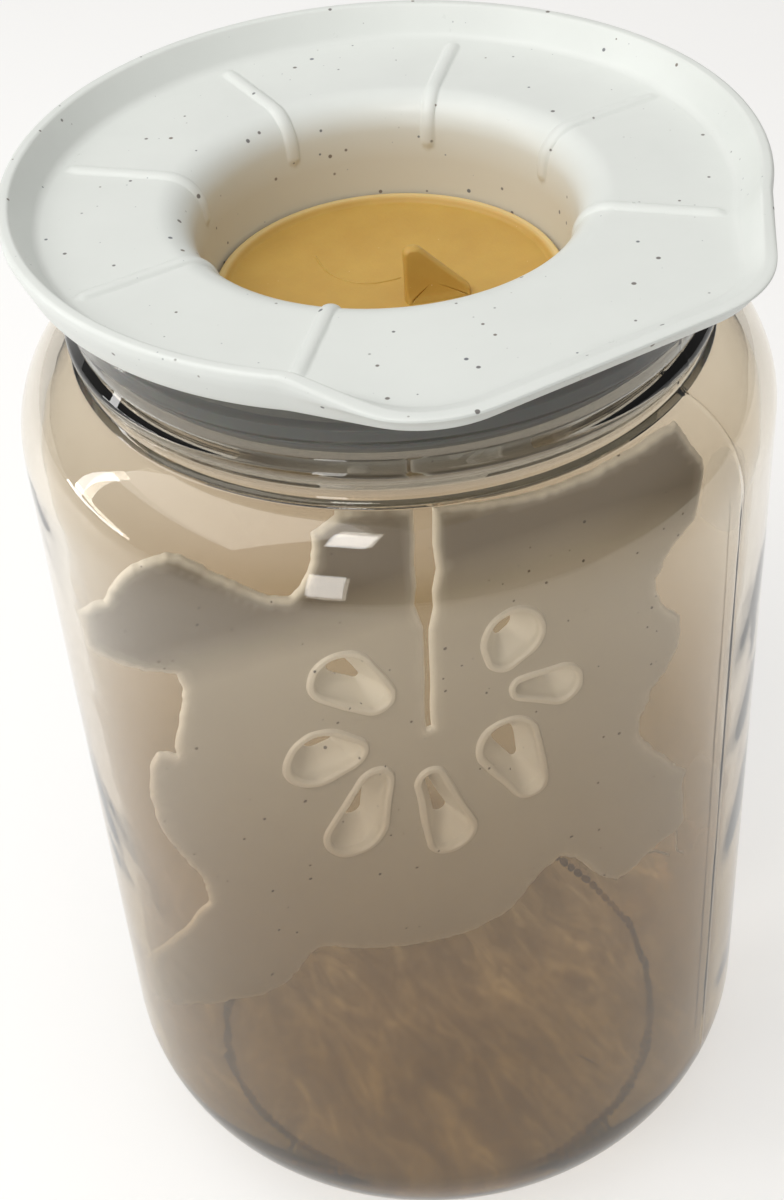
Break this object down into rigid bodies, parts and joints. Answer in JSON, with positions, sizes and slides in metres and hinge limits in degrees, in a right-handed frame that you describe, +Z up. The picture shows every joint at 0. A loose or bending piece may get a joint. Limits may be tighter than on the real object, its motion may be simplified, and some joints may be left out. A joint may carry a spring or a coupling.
{
  "type": "fermenting jar with pouring lid",
  "caption": "Clear glass jar with a speckled plastic pouring lid, a central lid well closed by a finger-tab stopper, and a torn drain plate with drop-shaped holes inside",
  "frame": {"origin": "on the jar's axis, level with the ring it stands on", "axes": "+Z up along the jar's axis; -Y towards the lid's straight pouring edge; +X to the right seen from the pouring edge"},
  "size_m": [0.13, 0.13, 0.2118],
  "materials": {
    "clear_glass": "polished",
    "speckled_plastic": "satin, with fine dark specks",
    "clear_silicone": "satin",
    "yellow_silicone": "satin"
  },
  "bodies": {
    "jar": {"glass_jar": "clear_glass", "drain_plate": "speckled_plastic"},
    "lid": {"lid": "speckled_plastic", "lid_gasket": "clear_silicone"},
    "stopper": {"well_stopper": "yellow_silicone"}
  },
  "joints": [
    {"name": "lid_lift", "type": "slide", "parent": "jar", "child": "lid", "axis": [0, 0, 1], "range_m": [0, 0.06]},
    {"name": "stopper_lift", "type": "slide", "parent": "lid", "child": "stopper", "axis": [0, 0, 1], "range_m": [0, 0.04]}
  ]
}
